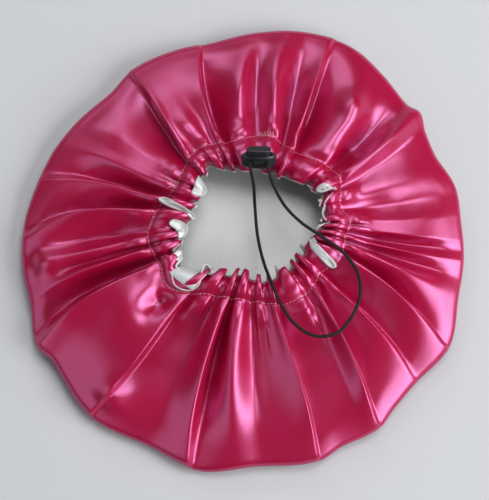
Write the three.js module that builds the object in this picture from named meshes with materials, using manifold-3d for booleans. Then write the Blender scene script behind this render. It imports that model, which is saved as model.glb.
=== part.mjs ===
// A reversible sleep bonnet lying flat with its gathered mouth up.
// Two discs of satin, one inside the other, are gathered at their edge by a drawcord
// in a stitched casing, and a two-hole cord lock holds the cord. Millimetres, +Z up.
import * as THREE from 'three';
import { mergeVertices } from 'three/addons/utils/BufferGeometryUtils.js';
import Module from 'manifold-3d';

const wasm = await Module();
wasm.setup();

// ---------------------------------------------------------------- driving sizes
const mouthCentre = new THREE.Vector2(9, 17); // the mouth sits off the middle of the disc
const flatWall = 1.2; // wall of one cloth where it lies flat
const steepWall = 2.2; // the same wall measured straight down through a steep fold
const clothGap = 1.0; // free space between the two cloths, measured straight down
const rimRollDepth = 1.2; // how far the rim's soft roll reaches in, over its half height
const wideSpan = 6.5; // degrees between two fold lines that takes a column between them

const casingCrown = 43; // height of the casing over the drawcord
const casingEdge = 35; // height of the casing's free edge round the mouth
const pleatRise = 3; // how far the casing's pleats rise and fall about those heights
const cordDiameter = 2.6;
const cordHeight = 35.2; // the drawcord's height in its tunnel
const tunnelHeight = 7.6; // free height of the tunnel round the drawcord
const cordSides = 8;

// Heights of the top cloth from the stitch line (0) to the rim (1), on a crest and in a valley.
const crestProfile = [[0, 41], [0.15, 43], [0.5, 40.5], [0.8, 31.5], [1, 20.5]];
const valleyProfile = [[0, 31], [0.15, 22], [0.5, 16], [0.8, 14], [1, 8.8]];

// Curves round the mouth centre: angle in degrees from +X, radius in mm.
const outline = [
  [2, 167], [12, 166.5], [22, 159], [30, 160.5], [35.5, 165.5], [40, 161.5], [51, 165.5],
  [63, 171.5], [75, 170.5], [88, 165.5], [103, 160.5], [114, 164], [128, 168], [137, 165.5],
  [149, 172.5], [159, 179], [169, 184], [179, 190], [189, 193.5], [199, 194.5], [208.5, 203],
  [214, 198], [229, 204.5], [244, 198], [257, 203], [270, 194.5], [284.5, 196.5],
  [291, 191], [301, 191], [307, 184.5], [316, 180.5], [328, 184], [340, 174], [352, 170.5],
];
const stitchLine = [
  [0, 76], [12, 69], [30, 77], [50, 69], [65, 67], [85, 73], [105, 70], [130, 77], [155, 72],
  [170, 80], [188, 90], [205, 86], [217, 90], [235, 73], [250, 67], [270, 66], [290, 72],
  [308, 71], [322, 67], [335, 75], [350, 73],
];
const mouthEdge = [
  [0, 55], [10, 53], [20, 58], [30, 53], [45, 48], [62, 42], [90, 43], [110, 46], [120, 50],
  [130, 59], [140, 57], [151, 53], [160, 52], [170, 55], [182, 56], [195, 65], [208, 71],
  [217, 66], [229, 53], [240, 47], [255, 42], [275, 46], [300, 45], [320, 43], [342, 48],
];

// The folds, counter-clockwise. Lines are crests and valleys in turn; each has its angle at the
// stitch line, half-way and at the rim, then how far it stands up half-way and at the rim,
// from 0 in the deepest valley to 1 on the highest crest.
const foldLines = [
  [1, 1, 3, 0.62, 0.6], [9, 9, 10, 0.25, 0.35],
  [17, 17, 18, 0.5, 0.5], [22, 25, 29, 0.42, 0.4],
  [27, 31, 35.5, 1, 0.9], [36, 39.5, 42, 0.15, 0.4],
  [44, 49, 55, 0.95, 0.7], [59, 62.5, 64, 0, 0.3],
  [64, 67, 68.5, 0.85, 0.65], [72, 74.5, 75.5, 0.15, 0.35],
  [79, 82.5, 82, 0.85, 0.6], [90, 90, 88, 0.3, 0.45],
  [102, 97, 94, 0.7, 0.55], [109, 107, 103.5, 0, 0.25],
  [114, 112.5, 107.5, 0.85, 0.6], [119, 119, 117, 0.72, 0.6],
  [124, 124, 121, 0.8, 0.65], [130, 128, 125, 0.85, 0.7],
  [137, 131, 128.5, 0.95, 0.8], [141, 135, 133, 0.1, 0.4],
  [149, 148, 147, 0.65, 0.6], [153, 152.5, 152, 0.66, 0.55],
  [157, 156.5, 155.5, 0.7, 0.5], [162, 161, 162.5, 0.05, 0.3],
  [166.5, 165, 167.5, 0.65, 0.5], [171, 171.5, 177.5, 0, 0.25],
  [174.5, 175.5, 182.5, 0.85, 0.65], [184, 184.5, 187, 0.2, 0.5],
  [190, 190, 191, 0.7, 0.7], [193, 193, 194, 0.45, 0.6],
  [196, 196, 198, 0.85, 0.65], [199, 200, 203.5, 0, 0.1],
  [204, 203.5, 208.5, 0.9, 0.95], [215, 216, 218, 0.8, 0.65],
  [226, 229, 228.5, 0.95, 0.85], [230.5, 232.5, 232.5, 0.2, 0.4],
  [236, 236.5, 237, 0.3, 0.4], [242, 242.5, 244, 0.3, 0.35],
  [249, 250.5, 253.5, 0.9, 0.8], [252.5, 255, 257, 0, 0.1],
  [258, 261, 266, 0.9, 0.7], [266, 269, 271, 0.3, 0.58],
  [272, 274, 276, 0.45, 0.65], [276, 279, 280.5, 0.65, 0.75],
  [282, 284.5, 284.5, 0.95, 0.9], [286, 288.5, 288, 0.15, 0.3],
  [299, 296, 293, 0.35, 0.45], [304, 300, 297, 0.45, 0.6],
  [311, 305.5, 301, 0.95, 0.9], [314, 309, 305, 0.2, 0.35],
  [320, 319, 315, 0.7, 0.6], [323.5, 322.5, 319.5, 0.3, 0.4],
  [338.5, 333, 327, 1, 0.9], [341.5, 336.5, 331.5, 0.2, 0.4],
  [345, 341.5, 339.5, 0.8, 0.6], [348, 346.5, 346, 0.15, 0.3],
  [350.5, 349.5, 350.5, 0.6, 0.5], [353, 352.5, 353, 0.1, 0.3],
  [356, 355.5, 356, 0.62, 0.55], [358.5, 358.5, 359, 0.62, 0.58],
];

// Rings of the two cloths: across the casing from its free edge, then out over the top cloth.
const casingStations = [0, 0.25, 0.5, 0.75];
const topStations = [0, 0.15, 0.35, 0.6, 0.85, 1];
const rollAngles = [45, 0, -45, -90];

// ---------------------------------------------------------------- small helpers
const degrees = Math.PI / 180;
const mix = (a, b, share) => a + (b - a) * share;
const ease = (share) => (1 - Math.cos(Math.PI * Math.min(share, 1))) / 2;

/** Value of a list of [place, value] pairs at a place between its first and last. */
function alongProfile(pairs, place) {
  let next = 1;
  while (next < pairs.length - 1 && pairs[next][0] < place) {
    next += 1;
  }
  const [placeA, valueA] = pairs[next - 1];
  const [placeB, valueB] = pairs[next];
  return mix(valueA, valueB, (place - placeA) / (placeB - placeA));
}

/** Radius of a closed curve of [degrees, radius] pairs at any angle, as a smooth spline. */
function aroundCurve(pairs, angle) {
  const turned = ((angle - pairs[0][0]) % 360 + 360) % 360 + pairs[0][0];
  let first = pairs.length - 1;
  while (pairs[first][0] > turned) {
    first -= 1;
  }
  const at = (step) => {
    const index = first + step;
    const turns = Math.floor(index / pairs.length);
    const pair = pairs[index - turns * pairs.length];
    return [pair[0] + 360 * turns, pair[1]];
  };
  const [before, start, end, after] = [at(-1), at(0), at(1), at(2)];
  const span = end[0] - start[0];
  const share = (turned - start[0]) / span;
  const slopeStart = (end[1] - before[1]) / (end[0] - before[0]) * span;
  const slopeEnd = (after[1] - start[1]) / (after[0] - start[0]) * span;
  const square = share * share;
  const cube = square * share;
  return (2 * cube - 3 * square + 1) * start[1] + (cube - 2 * square + share) * slopeStart
    + (3 * square - 2 * cube) * end[1] + (cube - square) * slopeEnd;
}

/** A closed manifold solid from a three.js geometry. */
function toSolid(geometry) {
  const bare = geometry.clone();
  bare.deleteAttribute('normal');
  bare.deleteAttribute('uv');
  const merged = mergeVertices(bare, 1e-4);
  return new wasm.Manifold(new wasm.Mesh({
    numProp: 3,
    vertProperties: new Float32Array(merged.attributes.position.array),
    triVerts: new Uint32Array(merged.index.array),
  }));
}

/** A three.js geometry from a manifold solid. */
function toGeometry(solid) {
  const mesh = solid.getMesh();
  const geometry = new THREE.BufferGeometry();
  geometry.setAttribute('position', new THREE.BufferAttribute(mesh.vertProperties, 3));
  geometry.setIndex(new THREE.BufferAttribute(mesh.triVerts, 1));
  geometry.computeVertexNormals();
  return geometry;
}

// ---------------------------------------------------------------- the gathered cloth
/** One fold line, counted on round the bonnet past either end of the list. */
function foldLine(index) {
  const count = foldLines.length;
  const turns = Math.floor(index / count);
  const line = foldLines[index - turns * count];
  return [...line.slice(0, 3).map((angle) => angle + 360 * turns), line[3], line[4]];
}

/** The columns of the mesh: each is a place between two fold lines. */
function meshColumns() {
  const columns = [];
  foldLines.forEach((line, index) => {
    columns.push({ index, share: 0 });
    if (foldLine(index + 1)[1] - line[1] > wideSpan) {
      columns.push({ index, share: 0.5 });
    }
  });
  return columns;
}

/** Angle of a column at t, from the stitch line (0) to the rim (1). */
function columnAngle({ index, share }, t) {
  const [a, b] = [foldLine(index), foldLine(index + 1)];
  const [inner, middle, rim] = [0, 1, 2].map((place) => mix(a[place], b[place], share));
  return inner * (1 - t) * (1 - 2 * t) + middle * 4 * t * (1 - t) + rim * t * (2 * t - 1);
}

/** How far a column stands up at t: 0 in the deepest valley, 1 on the highest crest. */
function columnLift({ index, share }, t) {
  const lift = (line, inner) => (t < 0.5
    ? mix(inner, line[3], ease(t / 0.2))
    : mix(line[3], line[4], ease((t - 0.5) / 0.5)));
  const innerLift = (line, number) => (number % 2 === 0 ? 0.75 + 0.25 * line[3] : 0.8 * line[3]);
  const [a, b] = [foldLine(index), foldLine(index + 1)];
  return mix(lift(a, innerLift(a, index)), lift(b, innerLift(b, index + 1)), ease(share));
}

/** Height of the top cloth's outer face on a column at t. */
function topHeight(column, t) {
  return mix(alongProfile(valleyProfile, t), alongProfile(crestProfile, t),
    columnLift(column, t));
}

function polarPoint(angle, radius, height) {
  return new THREE.Vector3(mouthCentre.x + radius * Math.cos(angle * degrees),
    mouthCentre.y + radius * Math.sin(angle * degrees), height);
}

/** Outer face of the casing: s runs from its free edge (0) to the stitch line (1). */
function casingPoint(column, s) {
  const angle = columnAngle(column, 0);
  const pleat = 2 * columnLift(column, 0) - 1;
  const radius = mix(aroundCurve(mouthEdge, angle) - 2 * pleat, aroundCurve(stitchLine, angle), s);
  const edge = mix(casingEdge + pleatRise * pleat, topHeight(column, 0), s);
  const crown = casingCrown + pleatRise * pleat;
  return polarPoint(angle, radius, mix(edge, crown, Math.sin(Math.PI * s)));
}

/** One column of a cloth's face, as points with the direction and depth to its inside. */
function clothColumn(column) {
  const tunnel = tunnelHeight + pleatRise * (2 * columnLift(column, 0) - 1);
  const points = casingStations.map((s) => ({
    point: casingPoint(column, s), inward: new THREE.Vector3(0, 0, -1),
    wall: steepWall, tunnel: tunnel * Math.sin(Math.PI * s),
  }));
  const halfHeight = topHeight(column, 1) / 2;
  const rollDepth = rimRollDepth * halfHeight;
  topStations.forEach((t) => {
    const angle = columnAngle(column, t);
    const rimTop = aroundCurve(outline, columnAngle(column, 1)) - rollDepth;
    const radius = mix(aroundCurve(stitchLine, columnAngle(column, 0)), rimTop, t);
    points.push({
      point: polarPoint(angle, radius, topHeight(column, t)),
      inward: new THREE.Vector3(0, 0, -1),
      wall: mix(steepWall, flatWall, t), tunnel: 0,
    });
  });
  rollAngles.forEach((turn) => {
    const angle = columnAngle(column, 1);
    const [cosine, sine] = [Math.cos(turn * degrees), Math.sin(turn * degrees)];
    const radius = aroundCurve(outline, angle) - rollDepth * (1 - cosine);
    const outward = polarPoint(angle, 1, 0).sub(polarPoint(angle, 0, 0));
    points.push({
      point: polarPoint(angle, radius, halfHeight * (1 + sine)),
      inward: outward.multiplyScalar(-cosine).add(new THREE.Vector3(0, 0, -sine)),
      wall: flatWall, tunnel: 0,
    });
  });
  return points;
}

/** A thin-walled pouch from columns of outer and inner points and the middles of its base. */
function pouchGeometry(outerColumns, innerColumns, outerMiddle, innerMiddle) {
  const columns = outerColumns.length;
  const rings = outerColumns[0].length;
  const positions = [...outerColumns, ...innerColumns].flat().concat(outerMiddle, innerMiddle)
    .flatMap((point) => point.toArray());
  const outer = (ring, column) => (column % columns) * rings + ring;
  const inner = (ring, column) => columns * rings + outer(ring, column);
  const middles = [2 * columns * rings, 2 * columns * rings + 1];
  const index = [];
  const quad = (a, b, c, d) => index.push(a, b, c, a, c, d);
  for (let column = 0; column < columns; column += 1) {
    quad(outer(0, column), outer(0, column + 1), inner(0, column + 1), inner(0, column));
    for (let ring = 0; ring < rings - 1; ring += 1) {
      quad(outer(ring, column), outer(ring + 1, column),
        outer(ring + 1, column + 1), outer(ring, column + 1));
      quad(inner(ring, column), inner(ring, column + 1),
        inner(ring + 1, column + 1), inner(ring + 1, column));
    }
    index.push(outer(rings - 1, column), middles[0], outer(rings - 1, column + 1));
    index.push(inner(rings - 1, column), inner(rings - 1, column + 1), middles[1]);
  }
  const geometry = new THREE.BufferGeometry();
  geometry.setAttribute('position', new THREE.Float32BufferAttribute(positions, 3));
  geometry.setIndex(index);
  geometry.computeVertexNormals();
  return geometry;
}

/** One cloth: the lining lies one wall, a gap and the casing's tunnel inside the shell. */
function clothGeometry(isLining) {
  const face = (depthOf) => meshColumns().map((column) => clothColumn(column)
    .map((place) => place.point.clone().addScaledVector(place.inward, depthOf(place))));
  const outerDepth = (place) => (isLining
    ? place.wall + clothGap + place.tunnel : 0);
  const innerDepth = (place) => outerDepth(place) + place.wall;
  const baseDepth = isLining ? flatWall + clothGap : 0;
  return pouchGeometry(face(outerDepth), face(innerDepth),
    polarPoint(0, 0, baseDepth), polarPoint(0, 0, baseDepth + flatWall));
}

// ---------------------------------------------------------------- the cord lock
const lock = {
  place: new THREE.Vector3(10.4, 64, 55), // its middle, on top of the casing
  lean: 40, // degrees that the plunger leans back from upright
  halfWidth: 13.8,
  halfDepth: 5.6,
  height: 13,
  plungerHalfWidth: 9.6,
  plungerHalfDepth: 4,
  buttonRise: 5, // how far the button stands out at rest
  travel: 3,
  slideGap: 0.35,
  holeOffset: 7, // each cord hole from the middle
  holeHeight: 0.5,
  holeRadius: cordDiameter / 2 + 0.45,
  edge: 1.3,
};
const socketFloor = -lock.height / 2 + 1.1;

/** An upright prism of oval section with its ends' edges rounded off. */
function ovalPrism(halfWidth, halfDepth, low, high, edge) {
  const shape = new THREE.Shape();
  shape.absellipse(0, 0, halfWidth - edge, halfDepth - edge, 0, 2 * Math.PI);
  const geometry = new THREE.ExtrudeGeometry(shape, {
    depth: high - low - 2 * edge, bevelEnabled: edge > 0, bevelSize: edge,
    bevelThickness: edge, bevelSegments: 3, curveSegments: 20,
  });
  return geometry.translate(0, 0, low + edge);
}

/** An upright prism with straight sides and round ends, for the plunger and its socket. */
function plungerPrism(halfWidth, halfDepth, low, high, edge) {
  const [radius, reach] = [halfDepth - edge, halfWidth - halfDepth];
  const shape = new THREE.Shape();
  shape.absarc(reach, 0, radius, -Math.PI / 2, Math.PI / 2);
  shape.absarc(-reach, 0, radius, Math.PI / 2, 3 * Math.PI / 2);
  shape.closePath();
  const geometry = new THREE.ExtrudeGeometry(shape, {
    depth: high - low - 2 * edge, bevelEnabled: edge > 0, bevelSize: edge,
    bevelThickness: edge, bevelSegments: 2, curveSegments: 10,
  });
  return geometry.translate(0, 0, low + edge);
}

/** A slot through the lock from front to back, for one cord; extra lengthens it upwards. */
function cordSlot(side, extra) {
  const shape = new THREE.Shape();
  shape.absarc(0, extra, lock.holeRadius, 0, Math.PI);
  shape.absarc(0, 0, lock.holeRadius, Math.PI, 2 * Math.PI);
  shape.closePath();
  const geometry = new THREE.ExtrudeGeometry(shape, {
    depth: 4 * lock.halfDepth, bevelEnabled: false, curveSegments: 8,
  });
  geometry.translate(0, 0, -2 * lock.halfDepth);
  geometry.rotateX(Math.PI / 2);
  return toSolid(geometry.translate(side * lock.holeOffset, 0, lock.holeHeight));
}

function lockBodyGeometry() {
  const outside = ovalPrism(lock.halfWidth, lock.halfDepth,
    -lock.height / 2, lock.height / 2, lock.edge);
  const socket = plungerPrism(lock.plungerHalfWidth + lock.slideGap,
    lock.plungerHalfDepth + lock.slideGap, socketFloor, lock.height, 0);
  return toGeometry(toSolid(outside).subtract(toSolid(socket))
    .subtract(cordSlot(-1, 0)).subtract(cordSlot(1, 0)));
}

function lockButtonGeometry() {
  const foot = socketFloor + lock.slideGap + lock.travel;
  const plunger = plungerPrism(lock.plungerHalfWidth, lock.plungerHalfDepth,
    foot, lock.height / 2 + lock.buttonRise, 0.8);
  return toGeometry(toSolid(plunger)
    .subtract(cordSlot(-1, lock.travel)).subtract(cordSlot(1, lock.travel)));
}

/** A point given in the lock's own frame, in the bonnet's frame. */
function fromLock(x, y, z) {
  return new THREE.Vector3(x, y, z)
    .applyAxisAngle(new THREE.Vector3(1, 0, 0), -lock.lean * degrees).add(lock.place);
}

// ---------------------------------------------------------------- the drawcord
/** A closed tube along a smooth route through points. */
function cordGeometry(points, steps, radius) {
  const section = new THREE.Shape();
  section.absarc(0, 0, radius, 0, 2 * Math.PI);
  return new THREE.ExtrudeGeometry(section, {
    steps, bevelEnabled: false, curveSegments: cordSides,
    extrudePath: new THREE.CatmullRomCurve3(points, false, 'centripetal'),
  });
}

/** Where one end of the cord leaves the back of the lock and goes down into the casing. */
function cordTail(side) {
  const x = lock.place.x + side * lock.holeOffset;
  return [
    fromLock(side * lock.holeOffset, lock.halfDepth + 1, lock.holeHeight),
    new THREE.Vector3(x + side * 0.6, lock.place.y + 9.5, lock.place.z - 8.5),
    new THREE.Vector3(x + side * 1.8, lock.place.y + 11, lock.place.z - 13),
    new THREE.Vector3(x + side * 4.5, lock.place.y + 11, cordHeight + 1),
  ];
}

/** The hidden stretch, from the lock's right side round the mouth in the casing's tunnel. */
function ringRoute() {
  const points = [];
  for (let angle = 68; angle > -248; angle -= 12) {
    const radius = (aroundCurve(mouthEdge, angle) + aroundCurve(stitchLine, angle)) / 2;
    points.push(polarPoint(angle, radius, cordHeight));
  }
  return [...cordTail(1), ...points, ...cordTail(-1).reverse()];
}

/** The visible loop: from the lock's left side over the mouth, the folds and back. */
function loopRoute() {
  const lockHole = (side, y) => fromLock(side * lock.holeOffset, y, lock.holeHeight);
  const back = lock.halfDepth + 0.5;
  const front = -lock.halfDepth - 3;
  const free = [
    [6.2, 45, 52.5], [7.4, 30, 36], [9.5, 8, 27], [14.5, -16, 36], [20.5, -34, 48],
    [27, -50, 50.5], [39, -67.5, 47.5], [56, -77, 46], [73, -74, 45.5], [85.5, -59.5, 45.5],
    [91.5, -41, 46], [88.5, -24, 46.5], [78, -10, 47.5], [61, 2.5, 50], [44.5, 14, 50],
    [32, 27, 49], [23, 42, 53],
  ].map((place) => new THREE.Vector3(...place));
  return [lockHole(-1, back), lockHole(-1, 0), lockHole(-1, front), ...free,
    lockHole(1, front), lockHole(1, 0), lockHole(1, back)];
}

/** The two eyelets in the outer shell that let the cord's ends up to the lock. */
function pierceShell(geometry) {
  return [-1, 1].reduce((solid, side) => {
    const eyelet = cordGeometry(cordTail(side), 8, cordDiameter / 2 + 0.9);
    return solid.subtract(toSolid(eyelet));
  }, toSolid(geometry));
}

// ---------------------------------------------------------------- the assembly
const materials = {
  satin: new THREE.MeshStandardMaterial({ color: '#b3204f', roughness: 0.35, metalness: 0 }),
  silver: new THREE.MeshStandardMaterial({ color: '#cfcfd0', roughness: 0.4, metalness: 0 }),
  cord: new THREE.MeshStandardMaterial({ color: '#121216', roughness: 0.7, metalness: 0 }),
  plastic: new THREE.MeshStandardMaterial({ color: '#17181c', roughness: 0.45, metalness: 0 }),
};

const bonnet = new THREE.Group();

function addPiece(name, geometry, material, parent) {
  const mesh = new THREE.Mesh(geometry, material);
  mesh.name = name;
  parent.add(mesh);
  return mesh;
}

const shell = addPiece('outer_shell', toGeometry(pierceShell(clothGeometry(false))),
  materials.satin, bonnet);
addPiece('lining', clothGeometry(true), materials.silver, bonnet);
addPiece('drawcord_ring', cordGeometry(ringRoute(), 44, cordDiameter / 2),
  materials.cord, bonnet);
addPiece('drawcord_loop', cordGeometry(loopRoute(), 44, cordDiameter / 2),
  materials.cord, bonnet);

const cordLock = new THREE.Group();
cordLock.position.copy(lock.place);
cordLock.rotation.x = -lock.lean * degrees;
addPiece('cord_lock_body', lockBodyGeometry(), materials.plastic, cordLock);
addPiece('cord_lock_button', lockButtonGeometry(), materials.plastic, cordLock);
bonnet.add(cordLock);

// The origin is the middle of the bonnet's underside.
shell.geometry.computeBoundingBox();
const middle = shell.geometry.boundingBox.getCenter(new THREE.Vector3());
bonnet.position.set(-middle.x, -middle.y, 0);

export default bonnet;
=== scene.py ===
"""A reversible satin sleep bonnet lying flat, its gathered mouth up. Metres, +Z up.

The two cloths are one fine surface, worked out from the charted folds below, and the
stitches, threads, cord and cord lock are built on it.
"""
import math

import bpy
import numpy as np
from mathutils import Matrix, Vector


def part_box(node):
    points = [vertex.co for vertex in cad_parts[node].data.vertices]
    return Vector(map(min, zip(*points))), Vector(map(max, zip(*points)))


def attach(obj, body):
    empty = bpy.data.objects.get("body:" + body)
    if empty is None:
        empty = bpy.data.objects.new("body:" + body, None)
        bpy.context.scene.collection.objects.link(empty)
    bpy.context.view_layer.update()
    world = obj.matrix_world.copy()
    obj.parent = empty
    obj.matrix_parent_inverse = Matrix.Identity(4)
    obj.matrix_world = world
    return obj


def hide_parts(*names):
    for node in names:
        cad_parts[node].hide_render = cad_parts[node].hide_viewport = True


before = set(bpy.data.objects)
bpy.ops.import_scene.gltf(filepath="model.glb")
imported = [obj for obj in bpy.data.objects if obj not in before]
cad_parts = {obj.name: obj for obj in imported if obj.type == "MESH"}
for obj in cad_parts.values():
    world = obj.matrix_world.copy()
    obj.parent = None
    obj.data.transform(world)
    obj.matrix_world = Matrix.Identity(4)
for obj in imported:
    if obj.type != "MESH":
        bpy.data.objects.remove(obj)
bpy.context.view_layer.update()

MM = 0.001

# ------------------------------------------------------------------ driving sizes, in mm
MOUTH_CENTRE = (9.0, 17.0)      # the mouth sits off the middle of the disc
CASING_CROWN = 43.0             # height of the casing over the drawcord
CASING_EDGE = 36.0              # height of the casing's free edge round the mouth
RIM_ROLL_DEPTH = 1.5            # how far the rim's soft roll reaches in, over its half height
RIM_ROLL_START = 58             # degrees of the roll where the top cloth runs into it
LINING_DEPTH = 0.8              # how far the lining lies inside the shell
FLAT_DIAMETER = 610.0           # each disc of cloth before it was gathered

VALLEY_TUCK = 0.55              # how far a leaning crest draws the valley on its steep side in
COLUMNS_A_LINE = 14             # columns of the fine mesh from one fold line to the next
CASING_RINGS = 20
TOP_RINGS = 62
ROLL_RINGS = 10
BASE_RINGS = 5
SMOOTHING_PASSES = 3

# Heights of the top cloth from the stitch line (0) to the rim (1), on a crest and in a valley.
CREST_PROFILE = [(0, 40), (0.07, 42.5), (0.2, 43), (0.5, 40.5), (0.8, 31.5), (0.92, 25), (1, 20.5)]
VALLEY_PROFILE = [(0, 31), (0.07, 27), (0.2, 20), (0.5, 16), (0.8, 14), (0.92, 12.3), (1, 8.8)]

# Curves round the mouth centre: angle in degrees from +X, radius in mm.
OUTLINE = [
    (2, 167), (12, 166.5), (22, 159), (30, 160.5), (35.5, 165.5), (40, 161.5), (51, 165.5),
    (63, 171.5), (75, 170.5), (88, 165.5), (103, 160.5), (114, 164), (128, 168), (137, 165.5),
    (149, 172.5), (159, 179), (169, 184), (179, 190), (189, 193.5), (199, 194.5), (208.5, 203),
    (214, 198), (229, 204.5), (244, 198), (257, 203), (270, 194.5), (284.5, 196.5),
    (291, 191), (301, 191), (307, 184.5), (316, 180.5), (328, 184), (340, 174), (352, 170.5),
]
STITCH_LINE = [
    (0, 76), (12, 69), (30, 77), (50, 69), (65, 67), (85, 73), (105, 70), (130, 77), (155, 72),
    (170, 80), (188, 90), (205, 86), (217, 90), (235, 73), (250, 67), (270, 66), (290, 72),
    (308, 71), (322, 67), (335, 75), (350, 73),
]
MOUTH_EDGE = [
    (0, 55), (10, 53), (20, 58), (30, 53), (45, 48), (62, 42), (90, 43), (110, 46), (120, 50),
    (130, 59), (140, 57), (151, 53), (160, 52), (170, 55), (182, 56), (195, 65), (208, 71),
    (217, 66), (229, 53), (240, 47), (255, 42), (275, 46), (300, 45), (320, 43), (342, 48),
]

# The folds, counter-clockwise. Lines are crests and valleys in turn; each has its angle at the
# stitch line, half-way and at the rim, then how far it stands up half-way and at the rim,
# from 0 in the deepest valley to 1 on the highest crest.
FOLD_LINES = [
    (1, 1, 3, 0.62, 0.6), (9, 9, 10, 0.25, 0.35),
    (17, 17, 18, 0.5, 0.5), (22, 25, 29, 0.42, 0.4),
    (27, 31, 35.5, 1, 0.9), (36, 39.5, 42, 0.15, 0.4),
    (44, 49, 55, 0.95, 0.7), (60, 64, 65.5, 0, 0.3),
    (64, 67, 68.5, 0.85, 0.65), (72, 74.5, 75.5, 0.15, 0.35),
    (79, 82.5, 82, 0.85, 0.6), (90, 90, 88, 0.3, 0.45),
    (102, 97, 94, 0.7, 0.55), (110, 108.5, 104.5, 0, 0.25),
    (114, 112.5, 107.5, 0.85, 0.6), (119, 119, 117, 0.72, 0.6),
    (124, 124, 121, 0.8, 0.65), (130, 128, 125, 0.85, 0.7),
    (137, 131, 128.5, 0.95, 0.8), (140, 134.5, 132, 0.1, 0.4),
    (149, 148, 147, 0.65, 0.6), (153, 152.5, 152, 0.66, 0.55),
    (157, 156.5, 155.5, 0.7, 0.5), (163, 162, 163, 0.05, 0.3),
    (166.5, 165, 167.5, 0.65, 0.5), (171.5, 172.5, 178, 0, 0.25),
    (174.5, 175.5, 182.5, 0.85, 0.65), (184, 184.5, 187, 0.2, 0.5),
    (190, 190, 191, 0.7, 0.7), (193, 193, 194, 0.45, 0.6),
    (196, 196, 198, 0.85, 0.65), (199, 200, 203.5, 0, 0.1),
    (204, 203.5, 208.5, 0.9, 0.95), (215, 216, 218, 0.8, 0.65),
    (226, 229.3, 228.5, 0.95, 0.85), (228.5, 231, 231, 0.2, 0.4),
    (236, 236.5, 237, 0.3, 0.4), (242, 242.5, 244, 0.3, 0.35),
    (249, 250.5, 253.5, 0.9, 0.8), (252.5, 255, 257, 0, 0.1),
    (258, 261, 266, 0.9, 0.7), (266, 269, 271, 0.3, 0.58),
    (272, 274, 276, 0.45, 0.65), (276, 279, 280.5, 0.65, 0.75),
    (282, 285, 284.5, 0.95, 0.9), (284.5, 287, 286.5, 0.15, 0.3),
    (299, 296, 293, 0.35, 0.45), (304, 300, 297, 0.45, 0.6),
    (311, 305.5, 301, 0.95, 0.9), (313, 307.5, 303.5, 0.2, 0.35),
    (320, 319, 315, 0.7, 0.6), (322, 321.5, 318.5, 0.3, 0.4),
    (338.5, 333, 327, 1, 0.9), (340, 335, 330, 0.2, 0.4),
    (345, 341.5, 339.5, 0.8, 0.6), (348, 346.5, 346, 0.15, 0.3),
    (350.5, 349.5, 350.5, 0.6, 0.5), (353, 352.5, 353, 0.1, 0.3),
    (356, 355.5, 356, 0.62, 0.55), (358.5, 358.5, 359, 0.62, 0.58),
]

# Crests that lean over like a knife pleat: number in FOLD_LINES and how much, from 0 to 1,
# with the steep side at the higher angle, or at the lower angle where it is negative.
LEANING_CRESTS = {
    4: -0.4, 8: -0.9, 14: -0.9, 18: 0.9, 24: -0.6, 26: -0.7, 30: 0.8, 32: -1, 34: 0.8,
    38: 0.6, 44: 1, 48: 1, 50: 0.8, 52: 1, 56: 0.5, 58: -0.6,
}

# Single dents and swellings of the top cloth: angle, t, half-width in degrees, half-length in t,
# height in mm.
DENTS = [
    (43, 0.3, 4, 0.14, -4), (52, 0.6, 4, 0.12, 4), (220, 0.13, 4.5, 0.12, -10),
    (213, 0.32, 7, 0.2, 4), (230, 0.86, 4, 0.1, 5), (299, 0.12, 4, 0.12, 4),
    (97, 0.5, 5, 0.25, 2.5), (125, 0.25, 5, 0.15, 4), (146, 0.75, 6, 0.2, 2),
    (190, 0.85, 4, 0.12, 4), (15, 0.5, 8, 0.3, 2),
]

# How far the lining shows past the casing's free edge: angle, half-width in degrees, mm.
LINING_LIPS = [
    (151, 7, 3.5), (112, 16, 0.8), (136, 8, 1.2), (165, 6, 2), (179, 8, 2.2), (193, 8, 1.6),
    (206, 8, 2), (220, 6, 5), (233, 6, 1.2), (292, 2.2, 6), (303, 6, 1), (331, 4, 5),
    (345, 7, 1.6), (358, 7, 2.4), (14, 8, 2), (20.5, 5, 4), (34, 7, 1.8),
]

# Narrow folds of the casing that stand up and show the lining along their edge. Each is a
# run of (angle, radius in mm) round the mouth centre.
EDGE_LOOPS = [
    [(177, 49), (172, 55), (168, 66), (166, 77), (167.5, 80.5), (170, 73), (173, 60), (179, 51)],
    [(193, 60), (186, 56), (181, 61), (180, 68), (182, 70), (186, 65), (193, 64)],
    [(197, 65), (199.5, 71), (202, 66), (204.5, 73), (207, 68), (210, 75), (213, 70)],
    [(340, 45), (333, 49), (328.8, 60), (327.6, 70), (329.6, 73), (333, 65), (337, 54), (343, 47)],
    [(352, 48), (356, 52), (359, 58), (2, 54), (6, 53), (11, 55), (16, 58), (20, 65)],
    [(22, 69), (23.5, 66), (24.5, 57), (27, 54), (29.5, 57), (29, 62)],
    [(142, 60), (145, 53), (150, 47.5), (155.5, 49), (158, 57)],
    [(212, 81), (219, 84), (226, 78.5), (228, 70), (223, 60), (221, 55), (226, 54), (231, 57)],
]

# The runs of EDGE_LOOPS, by number, that open far enough to show the lining between their edges.
OPEN_LOOPS = (0, 1, 3, 5, 6)

FOLD_EDGE_LEVEL = 42.5          # height that the edges of the standing folds are drawn towards
FOLD_EDGE_HALF_WIDTH = 0.85
FOLD_EDGE_HALF_HEIGHT = 2.4
HOLLOW_RISE = 1.6               # how far the lining between two edges lies over their middles
HOLLOW_SAG = 0.7
HOLLOW_CLEARANCE = 1.3          # least height of the lining over the casing under it
HOLLOW_THICKNESS = 0.8
POCKET_THICKNESS = 0.9

STITCH_LENGTH = 2.4
STITCH_GAP = 1.1
STITCH_RADIUS = 0.24
TACK_RADIUS = 0.14
LOOSE_THREAD_RADIUS = 0.2

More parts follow.
